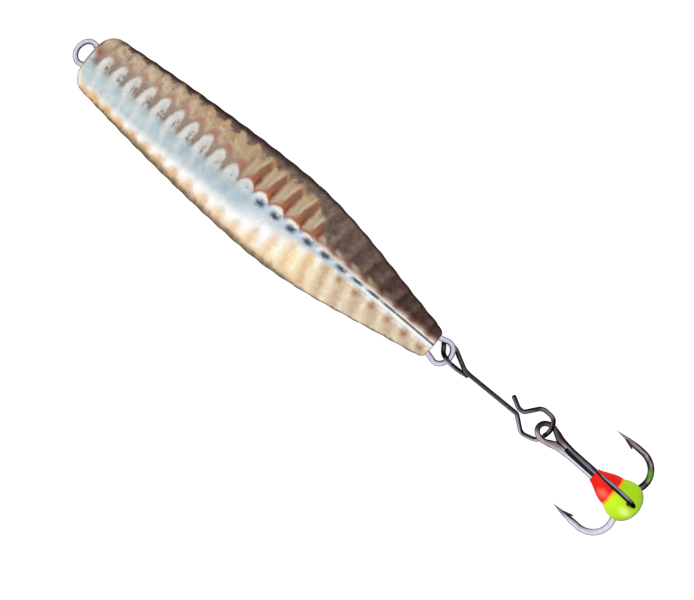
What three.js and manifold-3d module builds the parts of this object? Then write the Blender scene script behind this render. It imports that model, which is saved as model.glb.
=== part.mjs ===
// A ribbed metal fishing jig lying on its flat back, with a snap and a treble hook behind it.
// Millimetres, +Z up. +X runs along the body from the line tie to the hook.

import * as THREE from 'three';
import { mergeVertices } from 'three/addons/utils/BufferGeometryUtils.js';
import Module from 'manifold-3d';

const wasm = await Module();
wasm.setup();

// Driving sizes of the body.
const BODY_LENGTH = 60;
const WIDEST_AT = 32.45;
const HALF_WIDTH_HEAD = 4.14;
const HALF_WIDTH_MAX = 6.62;
const HALF_WIDTH_TAIL = 2.32;
const RIM_HEIGHT = 1.4;
const BACK_CHAMFER = 0.5;
const FLANK_SLOPE = 0.58;
const TAIL_FLANK_SLOPE = 0.74;
const CREST_HALF_WIDTH_HEAD = 2.6;
const CREST_HALF_WIDTH_TAIL = 0.45;
const OUTLINE_POWER = 1.64;
const TAIL_BOW = 2.03;
const HEAD_CORNER = { along: 1.9, across: 3.2, down: 0.9 };
const TAIL_CORNER = { along: 1.1, across: 0.7, down: 0.4 };

// Ribs: the first crease, the first pitch, and how the pitch grows and eases along the body.
const RIB_COUNT = 22;
const FIRST_CREASE = 1.64;
const FIRST_PITCH = 2.214;
const PITCH_GROWTH = 0.0273;
const PITCH_EASING = 0.00044;
const CREASE_DEPTH_FACE = 0.26;
const CREASE_DEPTH_OUTLINE = 0.08;
const CREASE_SWEEP = { head: 0.1, tail: 0.5 };
const RIM_CREASE_SHARE = 0.4;

// Section points, as fractions: from the crest's edge out to the rim, and from the middle to the edge.
const FLANK_POINTS = [1, 0.8, 0.55, 0.28, 0];
const CREST_POINTS = [0.59, 0.25];

// Wires.
const EYE_WIRE = 0.78;
const SNAP_WIRE = 0.66;
const HOOK_WIRE = 0.84;
const SOCKET_GAP = 0.05;
const WIRE_SIDES = 8;
const BEND_STEPS = 5;
// An eight-sided wire with corners this much further out has the area of the round one.
const CORNER_OUT = Math.sqrt(Math.PI / ((WIRE_SIDES / 2) * Math.sin((2 * Math.PI) / WIRE_SIDES)));

// Ring eyes in the two ends of the body.
const EYE_HEIGHT = 1.38;
const RING = { along: 1.32, across: 1.67 };
const RING_SWING = 112;
const LEG_DEPTH = 2.4;
const LEG_BEND = 0.4;
const HEAD_EYE = { legSpread: 1.5, offset: -0.04, reach: 1.85 };
const TAIL_EYE = { legSpread: 1.22, offset: 0.01, reach: 2.75 };

// Treble hook, measured from the outermost point of its bends back along the shank.
const HOOK_LENGTH = 16.07;
const HOOK_GAP = 7.62;
const HOOK_POINT_BACK = 7.45;
const HOOK_TRIAD = 0.44;
const HOOK_EYE = { along: 1.38, across: 1.15 };
const HOOK_EYE_SWING = 112;
const HOOK_EYE_SLIM = 0.9;
// Behind the eye the two wires are pressed together: how far back, how far out and how wide.
const HOOK_NECK = [
  [5.97, 0.38, 1],
  [4.9, 0.43, 1.1],
  [4.11, 0.48, 1.2],
  [3.57, 0.55, 1.36],
  [2.9, 0.84, 1.15],
];
const HOOK_NECK_END = 4.9;
const BEND_START = -3.7;
const BEND_SHOULDER = -3.0;
const BEND_WIDEST_AT = 4.4;
const BEND_WIDE = 0.96;
const BEND_THIN = 0.7;
const POINT_LEAN = 0.14;
const POINT_TAPER = 3.35;
const BRAZE_SIZE = 0.7;
const HOOK_PLACE = new THREE.Vector3(93.22, 0.44, 0);
const HOOK_YAW = -1.4;
const HOOK_PITCH = -3.6;
const THIRD_HOOK_LEAN = -3.2;
const THIRD_HOOK_FORWARD = 0.35;

// Resin drop, measured along the shank from the same point.
const DROP_FRONT = -6.0;
const DROP_SEAM = -2.6;
const DROP_WIDEST = -0.62;
const DROP_END = 1.68;
const DROP_FRONT_RADIUS = 0.97;
const DROP_SEAM_RADIUS = 2.18;
const DROP_RADIUS = 2.81;
const CONE_BULGE = 1.4;
const CONE_STEPS = 7;
const BALL_STEPS = 12;
const DROP_SIDES = 28;

const rad = THREE.MathUtils.degToRad;
const smooth = (x, a, b) => THREE.MathUtils.smoothstep(x, a, b);
const mix = THREE.MathUtils.lerp;

function paint(color, roughness, metalness) {
  return new THREE.MeshStandardMaterial({ color, roughness, metalness });
}

const platedMetal = () => paint(0xc9c2b2, 0.28, 1);
const steelWire = () => paint(0xb9b7c6, 0.22, 1);
const hookSteel = () => paint(0x8d8790, 0.25, 1);

function resin() {
  const material = paint(0xffffff, 0.15, 0);
  material.vertexColors = true;
  return material;
}

// Closed geometry from rings of equal length: walls between them and a flat fan over each end.
function loft(rings) {
  const sides = rings[0].length;
  const last = rings.length - 1;
  const points = rings.flat();
  const index = [];
  for (let i = 0; i < last; i += 1) {
    for (let k = 0; k < sides; k += 1) {
      const a = i * sides + k;
      const b = i * sides + (k + 1) % sides;
      index.push(a, b, b + sides, a, b + sides, a + sides);
    }
  }
  for (const [ring, flip] of [[0, true], [last, false]]) {
    const centre = new THREE.Vector3();
    rings[ring].forEach((p) => centre.addScaledVector(p, 1 / sides));
    const middle = points.push(centre) - 1;
    for (let k = 0; k < sides; k += 1) {
      const a = ring * sides + k;
      const b = ring * sides + (k + 1) % sides;
      index.push(middle, flip ? b : a, flip ? a : b);
    }
  }
  const geometry = new THREE.BufferGeometry().setFromPoints(points);
  geometry.setIndex(index);
  return geometry;
}

function toSolid(geometry) {
  const bare = geometry.clone();
  bare.deleteAttribute('normal');
  bare.deleteAttribute('uv');
  const merged = mergeVertices(bare, 1e-5);
  return new wasm.Manifold(new wasm.Mesh({
    numProp: 3,
    vertProperties: new Float32Array(merged.attributes.position.array),
    triVerts: new Uint32Array(merged.index.array),
  }));
}

function toGeometry(solid) {
  const mesh = solid.getMesh();
  const geometry = new THREE.BufferGeometry();
  geometry.setAttribute('position', new THREE.BufferAttribute(mesh.vertProperties, 3));
  geometry.setIndex(Array.from(mesh.triVerts));
  geometry.computeVertexNormals();
  return geometry;
}

// Body

// Half the width of the smooth outline, without ribs and end corners.
function halfWidth(x) {
  if (x < WIDEST_AT) {
    const s = 1 - x / WIDEST_AT;
    return HALF_WIDTH_MAX - (HALF_WIDTH_MAX - HALF_WIDTH_HEAD) * s ** OUTLINE_POWER;
  }
  const s = (x - WIDEST_AT) / (BODY_LENGTH - WIDEST_AT);
  const bow = s * s * (TAIL_BOW - (TAIL_BOW - 1) * s);
  return HALF_WIDTH_MAX - (HALF_WIDTH_MAX - HALF_WIDTH_TAIL) * bow;
}

function creasePosition(i) {
  return FIRST_CREASE + i * (FIRST_PITCH + i * (PITCH_GROWTH - i * PITCH_EASING));
}

// How much is left of an edge that a rounded end takes away, 1 where the rounding is over.
function endRounding(distance, reach) {
  const s = 1 - Math.min(distance / reach, 1);
  return 1 - Math.sqrt(1 - s * s);
}

// One ring of the body, from the right rim over the crest to the left rim and back under.
function bodyRing(x, rib) {
  const head = endRounding(x, HEAD_CORNER.along);
  const tail = endRounding(BODY_LENGTH - x, TAIL_CORNER.along);
  const corner = HEAD_CORNER.across * head + TAIL_CORNER.across * tail;
  const drop = HEAD_CORNER.down * endRounding(x, HEAD_CORNER.down)
    + TAIL_CORNER.down * endRounding(BODY_LENGTH - x, TAIL_CORNER.down);
  const edge = halfWidth(x) - corner - CREASE_DEPTH_OUTLINE * (1 - rib);
  const crest = mix(CREST_HALF_WIDTH_HEAD, CREST_HALF_WIDTH_TAIL, smooth(x, 12, 34));
  const slope = mix(FLANK_SLOPE, TAIL_FLANK_SLOPE, smooth(x, 30, 56));
  const peak = RIM_HEIGHT + slope * (halfWidth(x) - crest / 2);
  const groove = CREASE_DEPTH_FACE * (1 - rib);
  const sweep = mix(CREASE_SWEEP.head, CREASE_SWEEP.tail, x / BODY_LENGTH);
  const lag = sweep * smooth(x, 0.5, 5) * smooth(BODY_LENGTH - x, 0, 3);
  const ring = [];
  const place = (y, z) => {
    const u = y / halfWidth(x);
    ring.push(new THREE.Vector3(x + lag * u * u, y, z));
  };
  const topAt = (y) => {
    const out = Math.abs(y);
    const fall = out < crest ? (slope * out * out) / (2 * crest) : slope * (out - crest / 2);
    return Math.max(peak - fall - groove - drop, RIM_HEIGHT - groove * RIM_CREASE_SHARE - drop / 2);
  };
  const inner = Math.min(crest, edge * 0.6);
  const half = [
    ...FLANK_POINTS.map((f) => mix(inner, edge, f)),
    ...CREST_POINTS.map((f) => f * inner),
  ];
  const tops = [...half, ...half.slice().reverse().map((y) => -y)];
  tops.forEach((y) => place(y, topAt(y)));
  place(-edge, BACK_CHAMFER);
  place(-(edge - BACK_CHAMFER), 0);
  place(edge - BACK_CHAMFER, 0);
  place(edge, BACK_CHAMFER);
  return ring;
}

function bodyStations() {
  const stations = [];
  const add = (x, rib) => stations.push({ x, rib });
  const partial = (from, to, fractions, rising) => fractions.forEach((f) => {
    add(mix(from, to, f), rising ? 1 - f * f : f * (2 - f));
  });
  partial(0, creasePosition(0), [0, 0.06, 0.25, 0.55], true);
  for (let i = 0; i < RIB_COUNT; i += 1) {
    const from = creasePosition(i);
    const to = creasePosition(i + 1);
    for (const f of [0, 0.2, 0.5, 0.8]) {
      add(mix(from, to, f), 4 * f * (1 - f));
    }
  }
  partial(creasePosition(RIB_COUNT), BODY_LENGTH, [0, 0.3, 0.65, 0.9, 1], false);
  return stations;
}

function bodyGeometry() {
  const shell = loft(bodyStations().map(({ x, rib }) => bodyRing(x, rib)));
  let solid = toSolid(shell);
  for (const eye of [headEyePath(), tailEyePath()]) {
    const bore = sweep(eye, EYE_WIRE + 2 * SOCKET_GAP, SOCKET_GAP);
    solid = solid.subtract(toSolid(bore));
  }
  return toGeometry(solid);
}

// Wires

// A path point: where it is, which way its flat side faces, and its two half sizes as factors.
function station(point, up, wide = 1, thin = 1) {
  return { point, up, wide, thin };
}

// A closed tube along path points. The stretch lengthens it at both ends.
function sweep(path, diameter, stretch = 0) {
  const last = path.length - 1;
  const radius = (diameter / 2) * CORNER_OUT;
  const rings = path.map(({ point, up, wide, thin }, i) => {
    const ahead = path[Math.min(i + 1, last)].point;
    const behind = path[Math.max(i - 1, 0)].point;
    const tangent = ahead.clone().sub(behind).normalize();
    const side = new THREE.Vector3().crossVectors(up, tangent).normalize();
    const top = new THREE.Vector3().crossVectors(tangent, side);
    const centre = point.clone();
    if (i === 0) centre.addScaledVector(tangent, -stretch);
    if (i === last) centre.addScaledVector(tangent, stretch);
    return Array.from({ length: WIRE_SIDES }, (_, k) => {
      const turn = (2 * Math.PI * (k + 0.5)) / WIRE_SIDES;
      return centre.clone()
        .addScaledVector(side, Math.cos(turn) * radius * wide)
        .addScaledVector(top, Math.sin(turn) * radius * thin);
    });
  });
  return loft(rings);
}

function arcPoints(centre, radii, from, to, steps) {
  return Array.from({ length: steps + 1 }, (_, i) => {
    const turn = rad(mix(from, to, i / steps));
    return new THREE.Vector2(centre.x + radii.x * Math.cos(turn), centre.y + radii.y * Math.sin(turn));
  });
}

// A ring eye seen from above: a leg in the body, round the ring, and a leg back. Side is -1 or 1.
function eyePath(bodyEnd, side, { legSpread, offset, reach }) {
  const up = new THREE.Vector3(0, 0, 1);
  const centre = new THREE.Vector2(reach - RING.along, 0);
  const ring = arcPoints(centre, new THREE.Vector2(RING.along, RING.across), -RING_SWING, RING_SWING, 18);
  const leg = [-LEG_DEPTH, -LEG_BEND].map((x) => new THREE.Vector2(x, -legSpread));
  const back = leg.slice().reverse().map((p) => new THREE.Vector2(p.x, -p.y));
  return [...leg, ...ring, ...back].map((p) => (
    station(new THREE.Vector3(bodyEnd + side * p.x, offset + side * p.y, EYE_HEIGHT), up)));
}

const headEyePath = () => eyePath(0, -1, HEAD_EYE);
const tailEyePath = () => eyePath(BODY_LENGTH, 1, TAIL_EYE);

// Snap: one wire through corners that are each softened by a bend of their own length.
// Every corner is where the straight runs beside it would meet: x, y, z and the bend's length.
// The loop goes over the tail eye's ring, down through it and back under it to the stem.
const SNAP_LOOP = [
  [66.2, -0.19, 1.1, 0],
  [64.7, -0.45, 1.4, 0.6],
  [62.75, -0.48, 2.6, 0.7],
  [61.7, -0.02, 1.42, 0.45],
  [60.42, 1.8, 0.275, 1.05],
  [62.6, 1.56, 0.42, 0.7],
  [65.45, 0.04, 1.88, 0.8],
];

// The open clip lies in a plane that leans across the stem: x, y and the bend's length.
const SNAP_CLIP = [
  [74.3, 0.16, 0.3],
  [76.5, -1.5, 0.8],
  [78.8, -0.82, 0.9],
  [79.15, 1.28, 0.9],
  [78.4, 2.86, 0.9],
  [76.3, 2.93, 0.8],
  [74.8, 0.88, 0.35],
  [73.95, 0.88, 0.35],
  [72.4, 1.68, 0],
];
const STEM_END_HEIGHT = 2.49;
const CLIP_LEAN = 1.0;

function snapCorners() {
  const clip = SNAP_CLIP.map(([x, y, reach]) => [x, y, STEM_END_HEIGHT + CLIP_LEAN * y, reach]);
  return [...SNAP_LOOP, ...clip].map(([x, y, z, reach]) => ({ at: new THREE.Vector3(x, y, z), reach }));
}

function snapCurve() {
  const corners = snapCorners();
  const curve = new THREE.CurvePath();
  let start = corners[0].at;
  for (let i = 1; i < corners.length - 1; i += 1) {
    const { at, reach } = corners[i];
    const into = at.clone().sub(corners[i - 1].at).normalize();
    const out = corners[i + 1].at.clone().sub(at).normalize();
    const bendStart = at.clone().addScaledVector(into, -reach);
    const bendEnd = at.clone().addScaledVector(out, reach);
    curve.add(new THREE.LineCurve3(start, bendStart));
    curve.add(new THREE.QuadraticBezierCurve3(bendStart, at, bendEnd));
    start = bendEnd;
  }
  curve.add(new THREE.LineCurve3(start, corners.at(-1).at));
  return curve;
}

// Points along the curve, with an up direction carried along so that the wire doesn't twist.
function snapPath() {
  const points = [];
  const curve = snapCurve();
  curve.curves.forEach((piece, i) => {
    const steps = i % 2 === 1 ? BEND_STEPS : 1;
    for (let k = 0; k < steps; k += 1) points.push(piece.getPoint(k / steps));
  });
  points.push(curve.curves.at(-1).getPoint(1));
  let up = new THREE.Vector3(0, 0, 1);
  return points.map((point, i) => {
    const ahead = points[Math.min(i + 1, points.length - 1)];
    const behind = points[Math.max(i - 1, 0)];
    const tangent = ahead.clone().sub(behind).normalize();
    up = up.clone().addScaledVector(tangent, -up.dot(tangent)).normalize();
    return station(point, up);
  });
}

// Treble hook, along its own X: the bends' outermost point is at 0 and the eye at the far -X end.

// One arm in its own plane, from the shank round the bend to the point: x along, y out from the shank.
function armOutline() {
  const inner = arcPoints(
    new THREE.Vector2(BEND_START, BEND_WIDEST_AT),
    new THREE.Vector2(-BEND_START, BEND_WIDEST_AT - HOOK_TRIAD), -90, 0, 9,
  );
  const outer = arcPoints(
    new THREE.Vector2(BEND_SHOULDER, BEND_WIDEST_AT),
    new THREE.Vector2(-BEND_SHOULDER, HOOK_GAP - BEND_WIDEST_AT), 0, 90, 8,
  ).slice(1);
  const run = [0.3, 0.55, 0.78, 1].map((f) => new THREE.Vector2(
    mix(BEND_SHOULDER, -HOOK_POINT_BACK, f),
    HOOK_GAP - POINT_LEAN * f * f,
  ));
  return [...inner, ...outer, ...run];
}

// Forging: the wire is round in the shank, flattened through the bend, and tapers to the point.
function armSection(point) {
  const forged = smooth(point.y, 1.2, 3.6);
  const left = THREE.MathUtils.clamp((point.x + HOOK_POINT_BACK) / POINT_TAPER, 0.08, 1);
  const taper = point.y > HOOK_GAP / 2 ? left ** 0.8 : 1;
  return {
    wide: mix(1, BEND_WIDE / HOOK_WIRE, forged) * taper,
    thin: mix(1, BEND_THIN / HOOK_WIRE, forged) * taper,
  };
}

// The way an arm points, turned round the shank from +Y.
function armDirection(turn) {
  return new THREE.Vector3(0, Math.cos(rad(turn)), Math.sin(rad(turn)));
}

function armPath(turn) {
  const out = armDirection(turn);
  const up = new THREE.Vector3(1, 0, 0).cross(out);
  if (up.z < 0) up.negate();
  return armOutline().map((p) => {
    const { wide, thin } = armSection(p);
    return station(new THREE.Vector3(p.x, 0, 0).addScaledVector(out, p.y), up, wide, thin);
  });
}

// The eye and the two side by side shanks, from one arm to the other.
function hookEyePath(level) {
  const up = new THREE.Vector3(0, 0, 1);
  const at = (x, y, wide) => station(new THREE.Vector3(x, y, level), up, wide, HOOK_EYE_SLIM);
  const middle = -HOOK_LENGTH + HOOK_EYE.along + (HOOK_WIRE * HOOK_EYE_SLIM) / 2;
  const radii = new THREE.Vector2(HOOK_EYE.along, HOOK_EYE.across);
  const turns = [180 - HOOK_EYE_SWING, 180 + HOOK_EYE_SWING];
  const ring = arcPoints(new THREE.Vector2(middle, 0), radii, ...turns, 16);
  const side = HOOK_NECK.map(([back, out, wide]) => at(back - HOOK_LENGTH, out, wide));
  const other = HOOK_NECK.map(([back, out, wide]) => at(back - HOOK_LENGTH, -out, wide));
  return [...side, ...ring.map((p) => at(p.x, p.y, HOOK_EYE_SLIM)), ...other.reverse()];
}

function doubleHookPath() {
  const level = -HOOK_TRIAD * Math.sin(rad(30));
  return [...armPath(-30).reverse(), ...hookEyePath(level), ...armPath(210)];
}

// The third hook starts as a flattened foot on the neck of the double hook.
function thirdHookPath() {
  const arm = armPath(90);
  const { up } = arm[0];
  const neckX = -HOOK_LENGTH + HOOK_NECK_END;
  const foot = station(new THREE.Vector3(neckX - 0.2, 0, HOOK_TRIAD - 0.12), up, 0.6, 0.45);
  const shank = station(new THREE.Vector3(neckX + 0.6, 0, HOOK_TRIAD), up);
  return [foot, shank, ...arm];
}

// A barb: a short spike cut up from the inside of an arm, pointing back to the bend.
function barbPath(turn) {
  const out = armDirection(turn);
  const up = new THREE.Vector3(1, 0, 0).cross(out);
  const knots = [[-5.9, 0.1, 0.34], [-5.15, 0.36, 0.36], [-4.45, 0.72, 0.18]];
  return knots.map(([x, inward, size]) => station(
    new THREE.Vector3(x, 0, 0).addScaledVector(out, HOOK_GAP - inward), up, size, size,
  ));
}

// The braze that fills the channel between the three shanks.
function brazePath() {
  const up = new THREE.Vector3(0, 0, 1);
  return [HOOK_NECK_END + 0.7 - HOOK_LENGTH, BEND_START - 0.2].map((x) => (
    station(new THREE.Vector3(x, 0, 0), up, BRAZE_SIZE, BRAZE_SIZE)));
}

// Everything of the hook, with a gap of air round it when it is used to cut its way through the drop.
// The double hook comes in two halves, so that neither half runs into itself.
function hookSolid(gap = 0) {
  const size = HOOK_WIRE + 2 * gap;
  const double = doubleHookPath();
  const half = Math.floor(double.length / 2);
  const lean = new THREE.Matrix4().makeRotationX(rad(THIRD_HOOK_LEAN));
  lean.setPosition(THIRD_HOOK_FORWARD, 0, 0);
  const third = [sweep(thirdHookPath(), size), sweep(barbPath(90), size)];
  third.forEach((geometry) => geometry.applyMatrix4(lean));
  const parts = [
    sweep(double.slice(0, half + 2), size),
    sweep(double.slice(half - 1), size),
    sweep(brazePath(), size),
    sweep(barbPath(-30), size),
    sweep(barbPath(210), size),
    ...third,
  ];
  return parts.map(toSolid).reduce((whole, part) => whole.add(part));
}

// Resin drop

// The outline of the drop, up the cone to the seam and then round the ball: radius and place.
function dropProfile() {
  const seamTurn = Math.asin(DROP_SEAM_RADIUS / DROP_RADIUS);
  const frontReach = (DROP_WIDEST - DROP_SEAM) / Math.cos(seamTurn);
  const backReach = DROP_END - DROP_WIDEST;
  const profile = [new THREE.Vector2(0, DROP_FRONT)];
  for (let i = 0; i < CONE_STEPS; i += 1) {
    const f = i / CONE_STEPS;
    const bulge = Math.sin((f * Math.PI) / 2) ** CONE_BULGE;
    const radius = mix(DROP_FRONT_RADIUS, DROP_SEAM_RADIUS, bulge);
    profile.push(new THREE.Vector2(radius, mix(DROP_FRONT, DROP_SEAM, f)));
  }
  for (let i = 0; i < BALL_STEPS; i += 1) {
    const turn = mix(Math.PI - seamTurn, 0, i / BALL_STEPS);
    const reach = turn > Math.PI / 2 ? frontReach : backReach;
    profile.push(new THREE.Vector2(DROP_RADIUS * Math.sin(turn), DROP_WIDEST + reach * Math.cos(turn)));
  }
  profile.push(new THREE.Vector2(0, DROP_END));
  return profile;
}

function dropSolid() {
  const lathe = new THREE.LatheGeometry(dropProfile(), DROP_SIDES);
  lathe.rotateZ(-Math.PI / 2);
  return toSolid(lathe).subtract(hookSolid(SOCKET_GAP));
}

function dropGeometry() {
  const geometry = toGeometry(dropSolid());
  const position = geometry.attributes.position;
  const red = new THREE.Color(0xe81c0a);
  const green = new THREE.Color(0xa8dc14);
  const colors = [];
  for (let i = 0; i < position.count; i += 1) {
    const color = position.getX(i) < DROP_SEAM ? red : green;
    colors.push(color.r, color.g, color.b);
  }
  geometry.setAttribute('color', new THREE.Float32BufferAttribute(colors, 3));
  return geometry;
}

function named(name, geometry, material) {
  const mesh = new THREE.Mesh(geometry, material);
  mesh.name = name;
  return mesh;
}

// The hook and its drop, laid down on two of its bends.
function hookGroup() {
  const group = new THREE.Group();
  group.add(named('treble_hook', toGeometry(hookSolid()), hookSteel()));
  group.add(named('hook_drop', dropGeometry(), resin()));
  group.rotation.set(0, rad(HOOK_PITCH), rad(HOOK_YAW), 'ZYX');
  group.updateMatrixWorld(true);
  const lowest = new THREE.Box3().setFromObject(group, true).min.z;
  group.position.set(HOOK_PLACE.x, HOOK_PLACE.y, -lowest);
  return group;
}

function fishingJig() {
  const jig = new THREE.Group();
  jig.add(named('jig_body', bodyGeometry(), platedMetal()));
  jig.add(named('head_eye', sweep(headEyePath(), EYE_WIRE), steelWire()));
  jig.add(named('tail_eye', sweep(tailEyePath(), EYE_WIRE), steelWire()));
  jig.add(named('snap', sweep(snapPath(), SNAP_WIRE), steelWire()));
  jig.add(hookGroup());
  jig.updateMatrixWorld(true);
  const box = new THREE.Box3().setFromObject(jig, true);
  const middle = box.getCenter(new THREE.Vector3());
  jig.position.set(-middle.x, -middle.y, -box.min.z);
  jig.updateMatrixWorld(true);
  return jig;
}

export default fishingJig();
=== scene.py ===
# A ribbed metal fishing jig on a pale floor, seen from straight above.
# The measures below are in millimetres, and MM turns them into metres. All pieces share the frame of
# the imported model.

import math

import bpy
from mathutils import Matrix, Vector, noise as grain


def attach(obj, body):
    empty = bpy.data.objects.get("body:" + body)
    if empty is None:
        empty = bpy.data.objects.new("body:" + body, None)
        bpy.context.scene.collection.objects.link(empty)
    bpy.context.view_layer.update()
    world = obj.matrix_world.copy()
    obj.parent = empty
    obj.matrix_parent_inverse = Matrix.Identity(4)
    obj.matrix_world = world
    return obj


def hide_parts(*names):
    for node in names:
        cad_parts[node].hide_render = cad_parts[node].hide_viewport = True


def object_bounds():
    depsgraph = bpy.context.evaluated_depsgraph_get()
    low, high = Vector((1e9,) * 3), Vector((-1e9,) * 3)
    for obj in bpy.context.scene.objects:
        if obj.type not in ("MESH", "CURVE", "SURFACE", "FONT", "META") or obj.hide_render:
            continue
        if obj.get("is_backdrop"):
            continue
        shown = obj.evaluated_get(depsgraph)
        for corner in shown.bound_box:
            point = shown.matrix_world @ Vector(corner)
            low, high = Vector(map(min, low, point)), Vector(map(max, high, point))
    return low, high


MM = 0.001

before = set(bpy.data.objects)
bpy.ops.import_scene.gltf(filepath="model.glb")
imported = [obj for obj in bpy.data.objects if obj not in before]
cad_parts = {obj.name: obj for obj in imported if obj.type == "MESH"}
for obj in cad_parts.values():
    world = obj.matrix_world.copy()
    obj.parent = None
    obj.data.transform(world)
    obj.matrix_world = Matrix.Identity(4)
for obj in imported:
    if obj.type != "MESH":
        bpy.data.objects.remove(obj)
cad_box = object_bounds()

# Where the body's head end and centre line are, in millimetres.
HEAD_X = -46.3332
CENTRE_Y = -0.48

# Body, as in the solids.
BODY_LENGTH = 60.0
WIDEST_AT = 32.45
HALF_WIDTH_HEAD = 4.14
HALF_WIDTH_MAX = 6.62
HALF_WIDTH_TAIL = 2.32
RIM_HEIGHT = 1.4
BACK_CHAMFER = 0.5
FLANK_SLOPE = 0.58
TAIL_FLANK_SLOPE = 0.74
CREST_HALF_WIDTH_HEAD = 2.6
CREST_HALF_WIDTH_TAIL = 0.45
CREST_NARROWS = (12, 34)
CREST_SHARE = 0.6
FLANK_STEEPENS = (30, 56)
OUTLINE_POWER = 1.64
TAIL_BOW = 2.03
HEAD_CORNER = {"along": 1.9, "across": 3.2, "down": 0.9}
TAIL_CORNER = {"along": 1.1, "across": 0.7, "down": 0.4}
RIB_COUNT = 22
FIRST_CREASE = 1.64
FIRST_PITCH = 2.214
PITCH_GROWTH = 0.0273
PITCH_EASING = 0.00044
CREASE_DEPTH_FACE = 0.26
CREASE_DEPTH_OUTLINE = 0.08
CREASE_SWEEP = {"head": 0.1, "tail": 0.5}
SWEEP_STARTS = (0.5, 5)
SWEEP_ENDS = (0, 3)
RIM_CREASE_SHARE = 0.4

# Wires.
EYE_WIRE = 0.78
SNAP_WIRE = 0.66
HOOK_WIRE = 0.84
EYE_HEIGHT = 1.38
RING = (1.32, 1.67)
RING_SWING = 112
LEG_DEPTH = 2.4
LEG_BEND = 0.4
HEAD_EYE = {"spread": 1.5, "offset": -0.04, "reach": 1.85}
TAIL_EYE = {"spread": 1.22, "offset": 0.01, "reach": 2.75}

HOOK_LENGTH = 16.07
HOOK_GAP = 7.62
HOOK_POINT_BACK = 7.45
HOOK_TRIAD = 0.44
HOOK_EYE = (1.38, 1.15)
HOOK_EYE_SWING = 112
HOOK_EYE_SLIM = 0.9
# Behind the eye the two wires are pressed together: how far back, how far out and how wide.
HOOK_NECK = [(5.97, 0.38, 1), (4.9, 0.43, 1.1), (4.11, 0.48, 1.2), (3.57, 0.55, 1.36), (2.9, 0.84, 1.15)]
HOOK_NECK_END = 4.9
BEND_START = -3.7
BEND_SHOULDER = -3.0
BEND_WIDEST_AT = 4.4
BEND_WIDE = 0.96
BEND_THIN = 0.7
POINT_LEAN = 0.14
POINT_TAPER = 3.35
HOOK_YAW = -1.4
HOOK_PITCH = -3.6
THIRD_HOOK_LEAN = -3.2
THIRD_HOOK_FORWARD = 0.35
HOOK_PLACE = (93.22, 0.44)
HOOK_HEIGHT = 4.4377

DROP_FRONT = -6.0
DROP_SEAM = -2.6
DROP_WIDEST = -0.62
DROP_END = 1.68
DROP_FRONT_RADIUS = 0.97
DROP_SEAM_RADIUS = 2.18
DROP_RADIUS = 2.81
CONE_BULGE = 1.4


def mix(a, b, f):
    return a + (b - a) * f


def smooth(x, a, b):
    s = min(max((x - a) / (b - a), 0.0), 1.0)
    return s * s * (3 - 2 * s)


# Camera


def camera():
    """Straight above the jig, turned so that it runs from the upper left to the lower right."""
    photo_width = 694
    pixels_per_mm = 7.5
    sensor = 36.0
    height = 450.0
    plane = 1.5
    above = (0.95, -3.31)
    turn = 40.135
    data = bpy.data.cameras.new("camera")
    data.sensor_width = sensor
    data.lens = sensor * (height - plane) / (photo_width / pixels_per_mm)
    data.clip_end = 10.0
    view = bpy.data.objects.new("camera", data)
    view.location = (above[0] * MM, above[1] * MM, height * MM)
    view.rotation_euler = (0, 0, math.radians(turn))
    bpy.context.scene.collection.objects.link(view)
    bpy.context.scene.camera = view


# Materials


def nodes_of(material):
    material.use_nodes = True
    tree = material.node_tree
    return tree.nodes, tree.links, tree.nodes["Principled BSDF"]


def ramp(nodes, stops):
    node = nodes.new("ShaderNodeValToRGB")
    while len(node.color_ramp.elements) > 1:
        node.color_ramp.elements.remove(node.color_ramp.elements[-1])
    for i, (at, color) in enumerate(stops):
        element = node.color_ramp.elements[0] if i == 0 else node.color_ramp.elements.new(at)
        element.position = at
        element.color = (*color, 1.0)
    return node


def noise(nodes, links, scale, detail):
    """Noise in the piece's own space. The scale counts waves to the metre."""
    place = nodes.new("ShaderNodeTexCoord")
    node = nodes.new("ShaderNodeTexNoise")
    node.inputs["Scale"].default_value = scale
    node.inputs["Detail"].default_value = detail
    links.new(place.outputs["Object"], node.inputs["Vector"])
    return node


def bump(nodes, links, height, strength, distance, shader):
    """Fine relief from a height, with its depth in metres."""
    node = nodes.new("ShaderNodeBump")
    node.inputs["Strength"].default_value = strength
    node.inputs["Distance"].default_value = distance
    links.new(height, node.inputs["Height"])
    links.new(node.outputs["Normal"], shader.inputs["Normal"])


def tinted(nodes, links, shade, shader):
    """The mesh's own tint, darkened a little by a shade, as the shader's colour."""
    tint = nodes.new("ShaderNodeAttribute")
    tint.attribute_name = "tint"
    product = nodes.new("ShaderNodeMixRGB")
    product.blend_type = "MULTIPLY"
    product.inputs["Fac"].default_value = 1.0
    links.new(tint.outputs["Color"], product.inputs["Color1"])
    links.new(shade.outputs["Color"], product.inputs["Color2"])
    links.new(product.outputs["Color"], shader.inputs["Base Color"])


PLATING_ROUGHNESS = {"least": 0.1, "most": 0.22}


def plated_material():
    """Polished plating with faint clouds and pits."""
    material = bpy.data.materials.new("plated_metal")
    nodes, links, shader = nodes_of(material)
    shader.inputs["Metallic"].default_value = 1.0
    mottle = noise(nodes, links, scale=1100.0, detail=2.0)
    shade = ramp(nodes, [(0.3, (0.94, 0.93, 0.92)), (0.6, (1.0, 1.0, 1.0))])
    links.new(mottle.outputs["Fac"], shade.inputs["Fac"])
    tinted(nodes, links, shade, shader)
    rough = nodes.new("ShaderNodeMapRange")
    rough.inputs["To Min"].default_value = PLATING_ROUGHNESS["least"]
    rough.inputs["To Max"].default_value = PLATING_ROUGHNESS["most"]
    links.new(mottle.outputs["Fac"], rough.inputs["Value"])
    links.new(rough.outputs["Result"], shader.inputs["Roughness"])
    bump(nodes, links, mottle.outputs["Fac"], strength=0.2, distance=0.04 * MM, shader=shader)
    return material


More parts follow.
